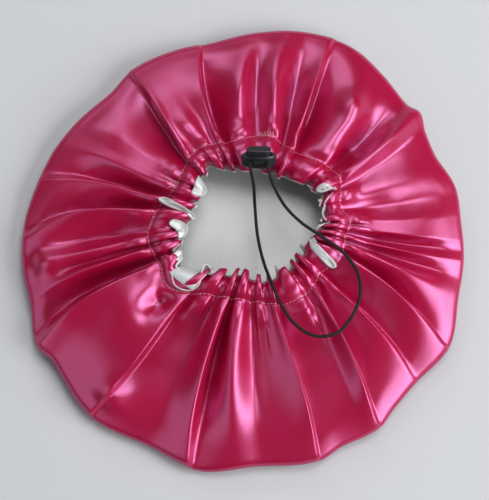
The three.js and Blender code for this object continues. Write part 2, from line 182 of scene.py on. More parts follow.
# The drawcord's free loop between the lock's two holes, in mm.
LOOP_ROUTE = [
    (6.2, 45, 52.5), (7.4, 30, 36), (9.5, 8, 27), (14.5, -16, 36), (20.5, -34, 48),
    (27, -50, 50.5), (39, -67.5, 47.5), (56, -77, 46), (73, -74, 45.5), (85.5, -59.5, 45.5),
    (91.5, -41, 46), (88.5, -24, 46.5), (78, -10, 47.5), (61, 2.5, 50), (44.5, 14, 50),
    (32, 27, 49), (23, 42, 53),
]
CORD_DIAMETER = 2.6
CORD_HEIGHT = 35.2              # of the hidden stretch inside the casing
LOOP_STEP = 0.4                 # from one ring of the braid to the next, where it is seen
RING_STEP = 1.6                 # the same where it is hidden
LOCK_PLACE = (10.4, 64, 55)
LOCK_LEAN = 40                  # degrees that the plunger leans back from upright
LOCK_HALF_WIDTH = 13.8
LOCK_HALF_DEPTH = 5.6
LOCK_HEIGHT = 13
PLUNGER_HALF_WIDTH = 9.6
PLUNGER_HALF_DEPTH = 4
BUTTON_RISE = 5                 # how far the button stands out at rest
BUTTON_TRAVEL = 3
SLIDE_GAP = 0.35
HOLE_OFFSET = 7                 # each cord hole from the middle
HOLE_HEIGHT = 0.5
HOLE_RADIUS = 1.75
SOCKET_FLOOR = -LOCK_HEIGHT / 2 + 1.1

DAYLIGHT = (0.98, 0.985, 1)
LAMPS = [                       # name, place and size in metres, power in watts
    ("window", (2.04, -0.83, 1.38), (2.6, 1.4), 86),
    ("ceiling", (0.49, 0.84, 2.41), (1.4, 1.4), 36),
    ("far_window", (-0.75, 2.07, 1.38), (2.2, 1.2), 19),
    ("pale_wall", (-2.07, -0.75, 1.38), (2.6, 1.4), 12),
]

# The bonnet's own middle is moved over the origin, and the lock goes with it.
LOCK_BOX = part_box("cord_lock_body")
SHIFT = np.append((np.array(LOCK_BOX[0]) + np.array(LOCK_BOX[1]))[:2] / 2 / MM, 0)
SHIFT[:2] -= LOCK_PLACE[:2]


# ------------------------------------------------------------------ small helpers
def mix(a, b, share):
    """The value a share of the way from a to b."""
    return a + (b - a) * share


def ease(share):
    """A soft step from 0 to 1 as share goes from 0 to 1."""
    return (1 - np.cos(np.pi * np.clip(share, 0, 1))) / 2


def along_profile(pairs, place):
    """A smooth curve through (place, value) pairs."""
    places, values = np.array(pairs, float).T
    slopes = np.gradient(values, places)
    return hermite(places, values, slopes, place)


def hermite(places, values, slopes, at):
    """Cubic through values with given slopes, at any places between the first and last."""
    first = np.clip(np.searchsorted(places, at, side="right") - 1, 0, len(places) - 2)
    span = places[first + 1] - places[first]
    share = (at - places[first]) / span
    square, cube = share ** 2, share ** 3
    return ((2 * cube - 3 * square + 1) * values[first]
            + (cube - 2 * square + share) * slopes[first] * span
            + (3 * square - 2 * cube) * values[first + 1]
            + (cube - square) * slopes[first + 1] * span)


def around_curve(pairs, angle):
    """Radius of a closed curve of (degrees, radius) pairs at any angle."""
    table = np.array(pairs, float)
    turned = np.concatenate([table - (360, 0), table, table + (360, 0)])
    places, values = turned.T
    slopes = np.zeros_like(values)
    slopes[1:-1] = (values[2:] - values[:-2]) / (places[2:] - places[:-2])
    return hermite(places, values, slopes, np.mod(angle, 360))


def around_lines(values, turn, index):
    """A smooth value that runs through one value a fold line and gains 'turn' each time round.

    It never swings past its neighbours, so angles keep their order.
    """
    values = np.asarray(values, float)
    table = np.concatenate([values - turn, values, values + turn])
    steps = np.diff(table)
    slopes = np.zeros_like(table)
    same_way = steps[1:] * steps[:-1] > 0
    safe = np.where(same_way, steps[1:] + steps[:-1], 1)
    slopes[1:-1] = np.where(same_way, 2 * steps[1:] * steps[:-1] / safe, 0)
    count = len(values)
    places = np.arange(-count, 2 * count, dtype=float)
    return hermite(places, table, slopes, index)


# ------------------------------------------------------------------ the gathered cloth
def tucked_lines():
    """The fold lines, with the valley on the steep side of each leaning crest drawn under it."""
    lines = np.array(FOLD_LINES, float)
    for crest, lean in LEANING_CRESTS.items():
        valley = crest + (1 if lean > 0 else -1)
        lines[valley, :3] = mix(lines[valley, :3], lines[crest, :3], VALLEY_TUCK * abs(lean))
    return lines


class Cloth:
    """The outer face of the gathered bonnet, as a grid of rings by columns, in mm."""

    def __init__(self):
        lines = tucked_lines()
        self.count = len(lines)
        self.columns = self.count * COLUMNS_A_LINE
        self.index = np.arange(self.columns) / COLUMNS_A_LINE
        self.angles = [around_lines(lines[:, place], 360, self.index) for place in range(3)]
        self.lines = lines
        self.grid = np.array(self.casing() + self.top() + self.roll() + self.base())

    def angle(self, t):
        """Each column's angle at t: a parabola through its three charted angles."""
        inner, middle, rim = self.angles
        angle = (inner * (1 - t) * (1 - 2 * t) + middle * 4 * t * (1 - t)
                 + rim * t * (2 * t - 1))
        return angle + self.bulge(t)

    def bulge(self, t):
        """Crests lean out over the valleys near the casing, so pleats have narrow necks."""
        phase = np.pi * self.index
        spacing = 360 / self.count
        return 0.42 * spacing / np.pi * np.sin(2 * phase) * (1 - ease(t / 0.5))

    def lift(self, t):
        """How far each column stands up: 0 in the deepest valley, 1 on the highest crest."""
        half, rim = self.lines[:, 3], self.lines[:, 4]
        gathered = np.where(np.arange(self.count) % 2 == 0, 0.75 + 0.25 * half, 0.8 * half)
        if t < 0.5:
            knots = mix(gathered, half, ease(t / 0.2))
        else:
            knots = mix(half, rim, ease((t - 0.5) / 0.5))
        flowing = around_lines(knots, 0, self.index)
        first = np.floor(self.index).astype(int)
        share = self.index - first
        low, high = knots[first % self.count], knots[(first + 1) % self.count]
        from_valley = first % 2 == 1
        rise = np.where(from_valley, share, 1 - share)
        rounded = np.sin(np.pi / 2 * rise)
        tubes = mix(low, high, np.where(from_valley, rounded, 1 - rounded))
        lift = mix(flowing, tubes, mix(0.85, 0.15, ease(t / 0.35)))
        crest_number = np.where(from_valley, first + 1, first) % self.count
        leans = np.array([LEANING_CRESTS.get(line, 0) for line in range(self.count)])
        lean = leans[crest_number] * ease(t / 0.12)
        steep_side = np.where(from_valley, lean < 0, lean > 0)
        steep = mix(low, high, np.where(from_valley, rise ** 2.2, 1 - rise ** 2.2))
        return mix(lift, steep, np.abs(lean) * steep_side)

    def top_height(self, t):
        """Each column's height at t, between the valley's profile and the crest's."""
        return mix(along_profile(VALLEY_PROFILE, t), along_profile(CREST_PROFILE, t),
                   self.lift(t)) + self.dents(t)

    def dents(self, t):
        """The single dents and swellings at t, which die out at the stitch line and the rim."""
        total = np.zeros(self.columns)
        for middle, along, half_width, half_length, height in DENTS:
            away = ((self.angle(t) - middle + 180) % 360 - 180) / half_width
            total += height * np.exp(-away ** 2 - ((t - along) / half_length) ** 2)
        return total * ease(t / 0.1) * ease((1 - t) / 0.1)

    def polar(self, angle, radius, height):
        """Points from degrees and radius round the mouth centre."""
        turn = np.radians(angle)
        return np.stack([MOUTH_CENTRE[0] + radius * np.cos(turn),
                         MOUTH_CENTRE[1] + radius * np.sin(turn),
                         height + 0 * turn], axis=-1)

    def casing(self):
        """Across the casing from its free edge to the stitch line."""
        angle = self.angle(0)
        pleat = 2 * self.lift(0) - 1
        wave = np.cos(np.pi * self.index)
        ruffle = np.sign(wave) * np.abs(wave) ** 0.45
        stitch = around_curve(STITCH_LINE, angle)
        edge = around_curve(MOUTH_EDGE, angle) - 2.3 * ruffle
        rings = []
        for s in np.linspace(0, 1, CASING_RINGS, endpoint=False):
            rise = np.sin(np.pi * min(s * 1.08, 1)) ** 0.6
            height = mix(mix(CASING_EDGE + 5 * ruffle, self.top_height(0), s),
                         CASING_CROWN + 3 * pleat + ruffle, rise)
            rings.append(self.polar(angle, mix(edge, stitch, s), height))
        return rings

    def top(self):
        """From the stitch line out to the top of the rim."""
        rim_angle = self.angle(1)
        reach = RIM_ROLL_DEPTH * self.half_rim() * (1 - math.cos(math.radians(RIM_ROLL_START)))
        rim_top = around_curve(OUTLINE, rim_angle) - reach
        stitch = around_curve(STITCH_LINE, self.angle(0))
        rings = []
        for t in np.linspace(0, 1, TOP_RINGS):
            rings.append(self.polar(self.angle(t), mix(stitch, rim_top, t),
                                    self.top_height(t)))
        return rings

    def half_rim(self):
        """Half the height of the rim's roll, which the top cloth runs into."""
        return self.top_height(1) / (1 + math.sin(math.radians(RIM_ROLL_START)))

    def roll(self):
        """Round the rim to the underside."""
        angle = self.angle(1)
        half = self.half_rim()
        rim = around_curve(OUTLINE, angle)
        rings = []
        for turn in np.radians(np.linspace(RIM_ROLL_START, -90, ROLL_RINGS + 1)[1:]):
            radius = rim - RIM_ROLL_DEPTH * half * (1 - math.cos(turn))
            rings.append(self.polar(angle, radius, half * (1 + math.sin(turn))))
        return rings

    def base(self):
        """The flat underside, nearly to its middle."""
        angle = self.angle(1)
        edge = around_curve(OUTLINE, angle) - RIM_ROLL_DEPTH * self.half_rim()
        return [self.polar(angle, edge * share, 0 * edge)
                for share in np.linspace(1, 0.04, BASE_RINGS + 1)[1:]]


def grid_normals(grid):
    """Unit normals of a closed ring grid, facing out."""
    across = np.gradient(grid, axis=0)
    round_ = (np.roll(grid, -1, axis=1) - np.roll(grid, 1, axis=1)) / 2
    normals = np.cross(across, round_)
    return normals / np.maximum(np.linalg.norm(normals, axis=2, keepdims=True), 1e-9)


def lining_grid(shell):
    """The lining inside the shell, with its lips past the casing's free edge."""
    inward = grid_normals(shell)
    inward[:CASING_RINGS + TOP_RINGS, :, 2] += 1.5
    inward /= np.linalg.norm(inward, axis=2, keepdims=True)
    lining = shell - LINING_DEPTH * inward
    middle = np.array([*MOUTH_CENTRE, 0]) + SHIFT
    toward = (shell[0] - middle) * (1, 1, 0)
    toward /= np.linalg.norm(toward, axis=1, keepdims=True)
    angle = np.degrees(np.arctan2(toward[:, 1], toward[:, 0]))
    lip = np.full(len(angle), 0.3)
    for place, half_width, reach in LINING_LIPS:
        away = np.abs((angle - place + 180) % 360 - 180) / half_width
        lip = np.maximum(lip, reach * (1 - ease((away - 0.3) / 0.7)))
    curl = 0.25 * np.maximum(lip - 2, 0)
    rings = []
    for share, drop in ((0.5, -4.5), (0.8, -3), (0.97, -1.4), (0.92, -0.2), (0.55, 0), (0.2, -0.3)):
        ring = shell[0] - toward * (lip * share)[:, None]
        ring[:, 2] += drop + curl * share
        rings.append(ring)
    return np.concatenate([np.array(rings), lining])


def smooth_grid(grid, passes, rings):
    """Relax the crease of every fold a little, leaving the rings past 'rings' alone."""
    weight = np.zeros((len(grid), 1, 1))
    weight[1:rings] = 1
    for _ in range(passes):
        round_ = (np.roll(grid, -1, axis=1) + np.roll(grid, 1, axis=1)) / 2
        across = grid.copy()
        across[1:-1] = (grid[2:] + grid[:-2]) / 2
        grid = mix(grid, (round_ + across) / 2, 0.5 * weight)
    return grid


def grid_mesh(name, grid):
    """A smooth mesh from rings of points in mm, with the cloth's own flat plan as its UVs."""
    rings, columns = grid.shape[:2]
    points = grid.reshape(-1, 3)
    ring, column = np.meshgrid(np.arange(rings - 1), np.arange(columns), indexing="ij")
    following = (column + 1) % columns
    corners = np.stack([ring * columns + column, (ring + 1) * columns + column,
                        (ring + 1) * columns + following, ring * columns + following], axis=-1)
    faces = corners.reshape(-1, 4).tolist()
    last = (rings - 1) * columns
    middle = len(points)
    points = np.vstack([points, grid[-1].mean(axis=0)])
    faces += [[last + c, middle, last + (c + 1) % columns] for c in range(columns)]
    mesh = bpy.data.meshes.new(name)
    mesh.from_pydata((points * MM).tolist(), [], faces)
    mesh.polygons.foreach_set("use_smooth", [True] * len(mesh.polygons))
    piece = bpy.data.objects.new(name, mesh)
    bpy.context.scene.collection.objects.link(piece)
    add_cloth_uvs(mesh, grid, columns)
    return piece


def add_cloth_uvs(mesh, grid, columns):
    """UVs in cm on the flat disc that the cloth was cut as."""
    steps = np.linalg.norm(np.diff(grid, axis=0), axis=2).mean(axis=1)
    reach = FLAT_DIAMETER / 2 - np.concatenate([[0], np.cumsum(steps)])
    reach = np.maximum(reach, 0)
    turn = 2 * np.pi * np.arange(columns) / columns
    flat = np.stack([reach[:, None] * np.cos(turn), reach[:, None] * np.sin(turn)], axis=-1)
    flat = np.vstack([flat.reshape(-1, 2), [[0, 0]]]) / 10
    layer = mesh.uv_layers.new(name="cloth_cm")
    vertices = np.empty(len(mesh.loops), dtype=np.int64)
    mesh.loops.foreach_get("vertex_index", vertices)
    layer.data.foreach_set("uv", flat[vertices].ravel())


# ------------------------------------------------------------------ swept and lofted pieces
def smooth_route(points, step):
    """Points every 'step' mm along a centripetal Catmull-Rom curve through points."""
    points = np.array(points, float)
    points = np.vstack([2 * points[0] - points[1], points, 2 * points[-1] - points[-2]])
    knots = np.append(0, np.cumsum(np.linalg.norm(np.diff(points, axis=0), axis=1) ** 0.5))
    fine = []
    for first in range(1, len(points) - 2):
        a, b, c, d = points[first - 1:first + 3]
        ta, tb, tc, td = knots[first - 1:first + 3]
        for at in np.linspace(tb, tc, 40, endpoint=False):
            ab = mix(a, b, (at - ta) / (tb - ta))
            bc = mix(b, c, (at - tb) / (tc - tb))
            cd = mix(c, d, (at - tc) / (td - tc))
            fine.append(mix(mix(ab, bc, (at - ta) / (tc - ta)),
                            mix(bc, cd, (at - tb) / (td - tb)), (at - tb) / (tc - tb)))
    fine.append(points[-2])
    fine = np.array(fine)
    run = np.append(0, np.cumsum(np.linalg.norm(np.diff(fine, axis=0), axis=1)))
    places = np.linspace(0, run[-1], max(2, round(run[-1] / step)) + 1)
    return np.stack([np.interp(places, run, fine[:, axis]) for axis in range(3)], axis=-1)


def carried_frames(path):
    """Two unit directions across a path at each point, carried along without twist."""
    tangents = np.gradient(path, axis=0)
    tangents /= np.linalg.norm(tangents, axis=1, keepdims=True)
    up = np.array([0.0, 0.0, 1.0])
    ups = []
    for tangent in tangents:
        up = up - tangent * (up @ tangent)
        up /= np.linalg.norm(up)
        ups.append(up)
    ups = np.array(ups)
    return np.cross(ups, tangents), ups


def swept(path, across, upward):
    """Rings of points round a path: across and upward are offsets, steps by sides."""
    sides, ups = carried_frames(path)
    return path[:, None] + across[..., None] * sides[:, None] + upward[..., None] * ups[:, None]


def joined_mesh(name, grids):
    """One smooth mesh from several closed tubes, each a grid of rings, with its ends closed."""
    points, faces = [], []
    for grid in grids:
        base = sum(len(part) for part in points)
        rings, sides = grid.shape[:2]
        ring, side = np.meshgrid(np.arange(rings - 1), np.arange(sides), indexing="ij")
        after = (side + 1) % sides
        corners = np.stack([ring * sides + side, ring * sides + after,
                            (ring + 1) * sides + after, (ring + 1) * sides + side], axis=-1)
        faces += (base + corners.reshape(-1, 4)).tolist()
        faces.append(list(range(base + sides - 1, base - 1, -1)))
        faces.append(list(range(base + (rings - 1) * sides, base + rings * sides)))
        points.append(grid.reshape(-1, 3))
    mesh = bpy.data.meshes.new(name)
    mesh.from_pydata((np.concatenate(points) * MM).tolist(), [], faces)
    mesh.polygons.foreach_set("use_smooth", [True] * len(mesh.polygons))
    piece = bpy.data.objects.new(name, mesh)
    bpy.context.scene.collection.objects.link(piece)
    return piece


def round_tube(path, radius, sides):
    """A tube that narrows to its two ends, for a stitch or a thread."""
    turn = 2 * np.pi * np.arange(sides) / sides
    narrow = np.ones(len(path))
    narrow[[0, -1]] = 0.5
    reach = radius * narrow[:, None]
    return swept(path, reach * np.cos(turn), reach * np.sin(turn))


def braided_tube(path, radius, step):
    """A round braid: two sets of yarns that cross, standing out a little from the core."""
    turn = 2 * np.pi * np.arange(24) / 24
    along = (np.arange(len(path)) * step)[:, None]
    yarns = np.maximum(np.abs(np.sin(4 * turn + 1.9 * along)),
                       np.abs(np.sin(4 * turn - 1.9 * along)))
    reach = radius * (0.92 + 0.08 * yarns)
    return swept(path, reach * np.cos(turn), reach * np.sin(turn))


def from_lock(point):
    """Points given in the lock's own frame, in the bonnet's frame, in mm."""
    x, y, z = np.moveaxis(np.asarray(point, float), -1, 0)
    lean = math.radians(LOCK_LEAN)
    turned = np.stack([x, y * math.cos(lean) + z * math.sin(lean),
                       z * math.cos(lean) - y * math.sin(lean)], axis=-1)
    return turned + LOCK_PLACE + SHIFT


def oval(half_width, half_depth, turn):
    """Points of an ellipse at the given turns."""
    return np.stack([half_width * np.cos(turn), half_depth * np.sin(turn)], axis=-1)


def round_ended(half_width, half_depth, turn):
    """A straight-sided outline with round ends, at the same turns as an oval."""
    width_power, depth_power = 0.55, 0.8
    cosine, sine = np.cos(turn), np.sin(turn)
    return np.stack([half_width * np.sign(cosine) * np.abs(cosine) ** width_power,
                     half_depth * np.sign(sine) * np.abs(sine) ** depth_power], axis=-1)


def lofted(name, rings):
    """A closed solid in the lock's frame from (outline, height) rings, ends closed."""
    grid = np.array([np.column_stack([outline, np.full(len(outline), height)])
                     for outline, height in rings])
    return joined_mesh(name, [from_lock(grid)])


def lock_body():
    """An oval moulding with rounded ends and a deep socket for the plunger."""
    turn = np.linspace(0, 2 * np.pi, 96, endpoint=False)
    half, edge = LOCK_HEIGHT / 2, 4.2
    rings = []
    for bend in np.radians(np.linspace(-90, 0, 8)):
        inset = edge * (1 - math.cos(bend))
        rings.append((oval(LOCK_HALF_WIDTH - inset, LOCK_HALF_DEPTH - inset, turn),
                      -half + edge + edge * math.sin(bend)))
    for bend in np.radians(np.linspace(0, 80, 7)):
        inset = 1.1 * (1 - math.cos(bend))
        rings.append((oval(LOCK_HALF_WIDTH - 2.4 * inset, LOCK_HALF_DEPTH - inset, turn),
                      half - 2.6 + 2.6 * math.sin(bend)))
    inner = (PLUNGER_HALF_WIDTH + SLIDE_GAP, PLUNGER_HALF_DEPTH + SLIDE_GAP)
    rings.append((round_ended(inner[0] + 0.3, inner[1] + 0.3, turn), half))
    rings.append((round_ended(*inner, turn), half - 0.4))
    rings.append((round_ended(*inner, turn), SOCKET_FLOOR))
    return lofted("cord_lock_shell", rings)


def lock_plunger():
    """The push button: a straight plunger with a softly rounded, slightly dished top."""
    turn = np.linspace(0, 2 * np.pi, 96, endpoint=False)
    foot = SOCKET_FLOOR + SLIDE_GAP + BUTTON_TRAVEL
    top, edge = LOCK_HEIGHT / 2 + BUTTON_RISE, 1.0
    size = (PLUNGER_HALF_WIDTH, PLUNGER_HALF_DEPTH)
    rings = [(round_ended(size[0] - 0.5, size[1] - 0.5, turn), foot),
             (round_ended(*size, turn), foot + 0.5)]
    for bend in np.radians(np.linspace(0, 90, 7)):
        inset = edge * (1 - math.cos(bend))
        rings.append((round_ended(size[0] - inset, size[1] - inset, turn),
                      top - edge + edge * math.sin(bend)))
    rings.append((round_ended(size[0] - 1.6, size[1] - 1.6, turn), top - 0.15))
    rings.append((round_ended(size[0] - 2.4, size[1] - 2.4, turn), top - 0.3))
    return lofted("cord_lock_plunger", rings)


def cut_cord_holes(piece, extra):
    """Cut the two cord holes through a lock piece; 'extra' mm lengthens them upwards."""
    for side in (-1, 1):
        turn = 2 * np.pi * np.arange(32) / 32
        across = HOLE_RADIUS * np.cos(turn)
        upward = HOLE_HEIGHT + extra / 2 + (HOLE_RADIUS + extra / 2) * np.sin(turn)
        rings = [np.column_stack([side * HOLE_OFFSET + across, np.full(32, depth), upward])
                 for depth in (-2 * LOCK_HALF_DEPTH, 2 * LOCK_HALF_DEPTH)]
        cutter = joined_mesh("cutter", [from_lock(np.array(rings))])
        tool = piece.modifiers.new("hole", "BOOLEAN")
        tool.operation = "DIFFERENCE"
        tool.object = cutter
        bpy.context.view_layer.update()
        seen = piece.evaluated_get(bpy.context.evaluated_depsgraph_get())
        mesh = bpy.data.meshes.new_from_object(seen)
        piece.modifiers.clear()
        piece.data = mesh
        bpy.data.objects.remove(cutter)


def lock_ribs():
    """Fine grip ribs on the front of the lock, between the two cord holes."""
    ribs = []
    for x in np.linspace(-3.4, 3.4, 5):
        y = -LOCK_HALF_DEPTH * math.sqrt(1 - (x / LOCK_HALF_WIDTH) ** 2)
        heights = np.linspace(-3.6, 2.6, 9)
        line = np.column_stack([np.full(9, x), np.full(9, y), heights])
        ribs.append(round_tube(from_lock(line), 0.62, 10))
    return joined_mesh("cord_lock_ribs", ribs)


# ------------------------------------------------------------------ cord, thread and edges
def cord_tail(side):
    """The cord's way from one of the lock's holes down into the casing."""
    x = LOCK_PLACE[0] + side * HOLE_OFFSET
    low = [(x + side * 0.6, LOCK_PLACE[1] + 9.5, LOCK_PLACE[2] - 8.5),
           (x + side * 1.8, LOCK_PLACE[1] + 11, LOCK_PLACE[2] - 13),
           (x + side * 4.5, LOCK_PLACE[1] + 11, CORD_HEIGHT + 1)]
    first = from_lock((side * HOLE_OFFSET, LOCK_HALF_DEPTH + 1, HOLE_HEIGHT))
    return [first] + [np.array(point) + SHIFT for point in low]


def ring_path():
    """The hidden stretch, from the lock's right side round the mouth inside the casing."""
    angle = np.arange(68.0, -248.0, -12.0)
    radius = (around_curve(MOUTH_EDGE, angle) + around_curve(STITCH_LINE, angle)) / 2
    turn = np.radians(angle)
    ring = np.column_stack([MOUTH_CENTRE[0] + radius * np.cos(turn),
                            MOUTH_CENTRE[1] + radius * np.sin(turn),
                            np.full(len(angle), CORD_HEIGHT)]) + SHIFT
    return smooth_route(cord_tail(1) + list(ring) + cord_tail(-1)[::-1], RING_STEP)


def loop_path(step):
    """The free loop, from the back of the lock's left hole to the back of its right one."""
    back, front = LOCK_HALF_DEPTH + 0.5, -LOCK_HALF_DEPTH - 3
    left = [from_lock((-HOLE_OFFSET, y, HOLE_HEIGHT)) for y in (back, 0, front)]
    right = [from_lock((HOLE_OFFSET, y, HOLE_HEIGHT)) for y in (front, 0, back)]
    return smooth_route(left + [np.array(point) + SHIFT for point in LOOP_ROUTE] + right, step)


def add_cord(name, path, grid, node):
    """One stretch of the drawcord in the black elastic, attached to the bonnet, in place of its CAD
    node.
    """
    piece = joined_mesh(name, [grid])
    piece.data.materials.append(black_elastic())
    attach(piece, "bonnet")
    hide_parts(node)
    coarse = path[::max(1, len(path) // 240)]
    coarse = np.vstack([coarse, path[-1]]) * MM
    return piece


def on_casing(grid, angle, radius, height):
    """A point on the shell nearest to a place round the mouth, lifted by height, in mm."""
    turn = np.radians(angle)
    place = np.array([MOUTH_CENTRE[0] + radius * np.cos(turn),
                      MOUTH_CENTRE[1] + radius * np.sin(turn)]) + SHIFT[:2]
    near = grid[:CASING_RINGS + 8]
    away = np.linalg.norm(near[:, :, :2] - place, axis=2)
    ring, column = np.unravel_index(away.argmin(), away.shape)
    return np.array([*place, near[ring, column, 2] + height])


def edge_path(grid, run):
    """A standing fold's edge over the casing, levelled towards the height of its crests."""
    places = [on_casing(grid, angle, radius, 0.8) for angle, radius in run]
    for place in places:
        place[2] = mix(place[2], FOLD_EDGE_LEVEL, 0.6)
    return smooth_route(places, 1.2)


def edge_loops(grid):
    """The lining's edge on the casing's standing folds: upright ribbons, thin from above."""
    ribbons = []
    turn = 2 * np.pi * np.arange(12) / 12
    for run in EDGE_LOOPS:
        path = edge_path(grid, run)
        taper = np.sin(np.pi * np.linspace(0.08, 0.92, len(path)))[:, None] ** 0.3
        ribbons.append(swept(path, FOLD_EDGE_HALF_WIDTH * taper * np.cos(turn),
                             FOLD_EDGE_HALF_HEIGHT * taper * np.sin(turn)))
    return joined_mesh("lining_edges", ribbons)


def clear_of_casing(grid, points, gap):
    """Points raised, where they have to be, to lie just over the casing."""
    near = grid[:CASING_RINGS + 8].reshape(-1, 3)
    for point in points:
        under = near[np.linalg.norm(near[:, :2] - point[:2], axis=1).argmin()]
        point[2] = max(point[2], under[2] + gap)
    return points


def lining_hollows(grid):
    """The lining between the edges of the folds that stand open, draped over the casing."""
    across = np.linspace(0, 1, 9)[:, None]
    sag = np.sin(np.pi * across) * (0, 0, HOLLOW_SAG)
    hollows = []
    for number in OPEN_LOOPS:
        path = edge_path(grid, EDGE_LOOPS[number])
        rings = []
        for near, far in zip(path, path[::-1][:len(path) // 2 - 1]):
            between = mix(near, far, across) + (0, 0, HOLLOW_RISE) - sag
            upper = clear_of_casing(grid, between, HOLLOW_CLEARANCE)
            rings.append(np.vstack([upper, upper[::-1] - (0, 0, HOLLOW_THICKNESS)]))
        hollows.append(np.array(rings))
    return joined_mesh("lining_hollows", hollows)


def lining_pocket(grid):
    """The broad fold of lining turned out over the casing at the lower left."""
    rings = []
    for u in np.linspace(0, 1, 30):
        angle = mix(210.5, 227.5, u)
        inner, outer = mix(73, 58, math.sin(1.4 * u)), mix(82, 77, u)
        across = np.linspace(0, 1, 12)
        swell = math.sin(math.pi * mix(0.04, 0.96, u)) ** 0.5
        upper = [on_casing(grid, angle, mix(inner, outer, v), 0) for v in across]
        upper = np.array(upper)
        upper[:, 2] = mix(40.5, 43.5, across) + 2.6 * swell * np.sin(np.pi * across) + 2.5 * u ** 3
        lower = upper[::-1] - (0, 0, POCKET_THICKNESS)
        rings.append(np.vstack([upper, lower]))
    return joined_mesh("lining_pocket", [np.array(rings)])


def along_ring(ring, length, gap):
    """Short runs of points along a closed ring: one for each stitch."""
    closed = np.vstack([ring, ring[:1]])
    run = np.append(0, np.cumsum(np.linalg.norm(np.diff(closed, axis=0), axis=1)))
    stitches = []
    for start in np.arange(0, run[-1] - length, length + gap):
        places = np.linspace(start, start + length, 5)
        stitches.append(np.stack([np.interp(places, run, closed[:, axis])
                                  for axis in range(3)], axis=-1))
    return stitches


def casing_stitches(grid):
    """The running stitch round the casing, each stitch sunk a little at its ends."""
    ring = grid[CASING_RINGS - 1] + 0.1 * grid_normals(grid)[CASING_RINGS - 1]
    sink = 0.22 * np.cos(np.linspace(-np.pi / 2, np.pi / 2, 5))
    threads = []
    for stitch in along_ring(ring, STITCH_LENGTH, STITCH_GAP):
        stitch[:, 2] += sink
        threads.append(round_tube(stitch, STITCH_RADIUS, 6))
    return threads


def bar_tack(grid):
    """The close zig-zag that fastens the casing beside the lock."""
    threads = []
    corners = [on_casing(grid, mix(79, 89, k / 12), 70 + 5 * (k % 2), 0.15)
               for k in range(13)]
    for first, second in zip(corners, corners[1:]):
        threads.append(round_tube(np.linspace(first, second, 4), TACK_RADIUS, 6))
    return threads


def loose_threads(grid):
    """A few thread ends left where the casing's seam was closed."""
    threads = []
    for angle, reach, bend in ((153, 9, 3), (155, 12, -2), (156.5, 7, 4), (158, 10, -3)):
        start = on_casing(grid, angle, 70, 0.4)
        outward = start - SHIFT - (*MOUTH_CENTRE, start[2])
        outward /= np.linalg.norm(outward)
        side = np.array([-outward[1], outward[0], 0])
        points = [start + outward * reach * share + side * bend * share ** 2
                  + (0, 0, 1.2 * math.sin(math.pi * share)) for share in (0, 0.35, 0.7, 1)]
        threads.append(round_tube(smooth_route(points, 0.8), LOOSE_THREAD_RADIUS, 6))
    return threads


# ------------------------------------------------------------------ materials
class Shader:
    """A small builder of one Principled material."""

    def __init__(self, name):
        self.material = bpy.data.materials.new(name)
        self.material.use_nodes = True
        self.tree = self.material.node_tree
        self.surface = self.tree.nodes["Principled BSDF"]

    def set(self, **values):
        for name, value in values.items():
            self.surface.inputs[name.replace("_", " ")].default_value = value
        return self

    def node(self, kind, **inputs):
        node = self.tree.nodes.new(kind)
        for name, value in inputs.items():
            socket = node.inputs[name.replace("_", " ")]
            if hasattr(value, "is_output"):
                self.tree.links.new(value, socket)
            else:
                socket.default_value = value
        return node

    def link(self, source, name):
        self.tree.links.new(source, self.surface.inputs[name])


def satin(name, dark, light, gloss, roughness, metallic):
    """Satin: floats laid in fine diagonal ribs, a directional gloss and a slow colour drift."""
    shader = Shader(name)
    shader.set(Metallic=metallic, Roughness=roughness)
    shader.surface.inputs["IOR"].default_value = 2.15
    shader.surface.inputs["Specular Tint"].default_value = (*gloss, 1)
    shader.surface.inputs["Anisotropic"].default_value = 0.4
    place = shader.node("ShaderNodeUVMap").outputs["UV"]
    drift = shader.node("ShaderNodeTexNoise", Vector=place, Scale=0.35, Detail=2.0)
    colour = shader.node("ShaderNodeMix")
    colour.data_type = "RGBA"
    colour.inputs[6].default_value = (*dark, 1)
    colour.inputs[7].default_value = (*light, 1)
    shader.tree.links.new(drift.outputs["Fac"], colour.inputs["Factor"])
    shader.link(colour.outputs[2], "Base Color")
    turn = shader.node("ShaderNodeMapping", Vector=place)
    turn.inputs["Rotation"].default_value[2] = math.radians(52)
    ribs = shader.node("ShaderNodeTexWave", Vector=turn.outputs["Vector"], Scale=4.0,
                       Distortion=0.8, Detail=1.0, Detail_Scale=2.0)
    slub = shader.node("ShaderNodeTexNoise", Vector=place, Scale=2.2, Detail=3.0)
    height = shader.node("ShaderNodeMath")
    height.operation = "ADD"
    shader.tree.links.new(ribs.outputs["Fac"], height.inputs[0])
    shader.tree.links.new(slub.outputs["Fac"], height.inputs[1])
    bump = shader.node("ShaderNodeBump", Strength=0.10, Distance=0.0003,
                       Height=height.outputs["Value"])
    shader.link(bump.outputs["Normal"], "Normal")
    return shader.material


def black_elastic():
    """Braided elastic: near black, with the fine fuzz of its yarns."""
    shader = Shader("black_elastic_braid")
    shader.set(Base_Color=(0.004, 0.004, 0.005, 1), Roughness=0.7)
    shader.surface.inputs["Specular IOR Level"].default_value = 0.3
    place = shader.node("ShaderNodeTexCoord").outputs["Object"]
    yarn = shader.node("ShaderNodeTexNoise", Vector=place, Scale=2600.0, Detail=2.0)
    bump = shader.node("ShaderNodeBump", Strength=0.3, Distance=0.0001,
                       Height=yarn.outputs["Fac"])
    shader.link(bump.outputs["Normal"], "Normal")
    return shader.material


